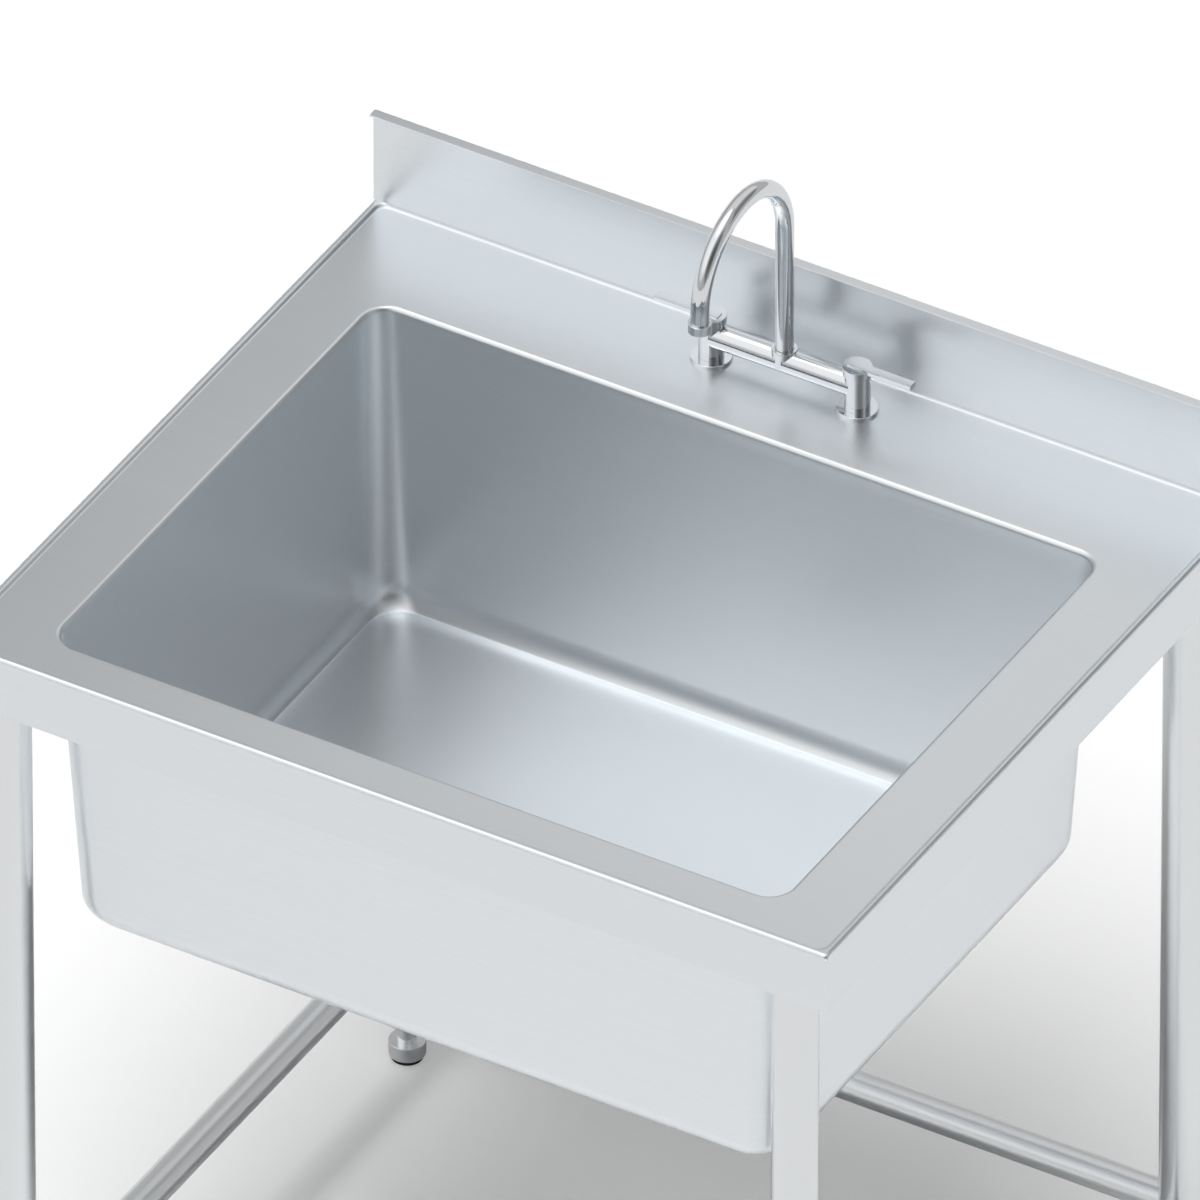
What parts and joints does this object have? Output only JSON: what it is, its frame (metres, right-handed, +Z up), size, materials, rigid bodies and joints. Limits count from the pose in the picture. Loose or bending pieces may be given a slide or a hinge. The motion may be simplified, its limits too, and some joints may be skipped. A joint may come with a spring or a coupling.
{
  "type": "utility laundry sink",
  "caption": "Free-standing stainless utility sink with a deep bowl, raised-edge worktop, upstand, tubular underframe, levelling feet and a deck-mounted bridge tap.",
  "frame": {"origin": "on the floor below the centre of the worktop's outline", "axes": "+Z up, +Y towards the wall behind the sink, +X to the right of someone who stands in front of it"},
  "size_m": [0.9, 0.75, 1.1909],
  "materials": {
    "satin_steel": "satin stainless sheet",
    "tube_steel": "satin stainless tube",
    "foot_steel": "turned stainless",
    "strainer_steel": "polished stainless",
    "dark_steel": "blackened screw steel",
    "chrome": "bright chrome plate",
    "brass": "plain machined brass",
    "black_rubber": "matt black rubber",
    "grey_plastic": "matt grey moulding",
    "fibre": "pressed fibre"
  },
  "bodies": {
    "sink": {"worktop": "satin_steel", "splashback": "satin_steel", "bowl": "satin_steel", "channel_left": "satin_steel", "channel_right": "satin_steel", "channel_front": "satin_steel", "channel_rear": "satin_steel", "leg_socket_front_left": "satin_steel", "leg_socket_front_right": "satin_steel", "leg_socket_rear_left": "satin_steel", "leg_socket_rear_right": "satin_steel", "leg_setscrews": "dark_steel", "leg_front_left": "tube_steel", "leg_front_right": "tube_steel", "leg_rear_left": "tube_steel", "leg_rear_right": "tube_steel", "rail_left": "tube_steel", "rail_right": "tube_steel", "rail_rear": "tube_steel", "leg_insert_front_left": "grey_plastic", "leg_insert_front_right": "grey_plastic", "leg_insert_rear_left": "grey_plastic", "leg_insert_rear_right": "grey_plastic", "strainer_body": "strainer_steel", "waste_gasket": "black_rubber", "waste_washer": "fibre", "waste_locknut": "grey_plastic", "tailpiece": "chrome", "tailpiece_washer": "black_rubber", "coupling_nut": "grey_plastic", "tap_body": "chrome", "tap_flange_left": "chrome", "tap_flange_right": "chrome", "tap_gasket_left": "black_rubber", "tap_gasket_right": "black_rubber", "tap_shank_left": "brass", "tap_shank_right": "brass", "tap_washers": "black_rubber", "tap_nuts": "brass", "tap_cartridge_left": "brass", "tap_cartridge_right": "brass", "spout_setscrew": "dark_steel"},
    "basket": {"strainer_basket": "strainer_steel", "basket_stopper": "black_rubber"},
    "left_lever": {"tap_handle_left": "chrome", "tap_spindle_left": "brass"},
    "right_lever": {"tap_handle_right": "chrome", "tap_spindle_right": "brass"},
    "swivel_spout": {"spout": "chrome", "spout_orings": "black_rubber", "aerator_housing": "chrome", "aerator_insert": "grey_plastic"},
    "levelling_foot_front_left": {"foot_front_left": "foot_steel", "foot_pad_front_left": "black_rubber"},
    "levelling_foot_front_right": {"foot_front_right": "foot_steel", "foot_pad_front_right": "black_rubber"},
    "levelling_foot_rear_left": {"foot_rear_left": "foot_steel", "foot_pad_rear_left": "black_rubber"},
    "levelling_foot_rear_right": {"foot_rear_right": "foot_steel", "foot_pad_rear_right": "black_rubber"}
  },
  "joints": [
    {"name": "left_lever_turn", "type": "hinge", "parent": "sink", "child": "left_lever", "pos_m": [-0.075, 0.326, 0.9718], "axis": [0, 0, 1], "range_deg": [0, 90]},
    {"name": "right_lever_turn", "type": "hinge", "parent": "sink", "child": "right_lever", "pos_m": [0.075, 0.326, 0.9718], "axis": [0, 0, -1], "range_deg": [0, 90]},
    {"name": "spout_swivel", "type": "hinge", "parent": "sink", "child": "swivel_spout", "pos_m": [0, 0.326, 0.9713], "axis": [0, 0, 1], "range_deg": [-90, 90]},
    {"name": "basket_lift", "type": "slide", "parent": "sink", "child": "basket", "axis": [0, 0, 1], "range_m": [0, 0.012]},
    {"name": "foot_front_left_screw", "type": "slide", "parent": "sink", "child": "levelling_foot_front_left", "axis": [0, 0, -1], "range_m": [0, 0.025]},
    {"name": "foot_front_right_screw", "type": "slide", "parent": "sink", "child": "levelling_foot_front_right", "axis": [0, 0, -1], "range_m": [0, 0.025]},
    {"name": "foot_rear_left_screw", "type": "slide", "parent": "sink", "child": "levelling_foot_rear_left", "axis": [0, 0, -1], "range_m": [0, 0.025]},
    {"name": "foot_rear_right_screw", "type": "slide", "parent": "sink", "child": "levelling_foot_rear_right", "axis": [0, 0, -1], "range_m": [0, 0.025]}
  ]
}
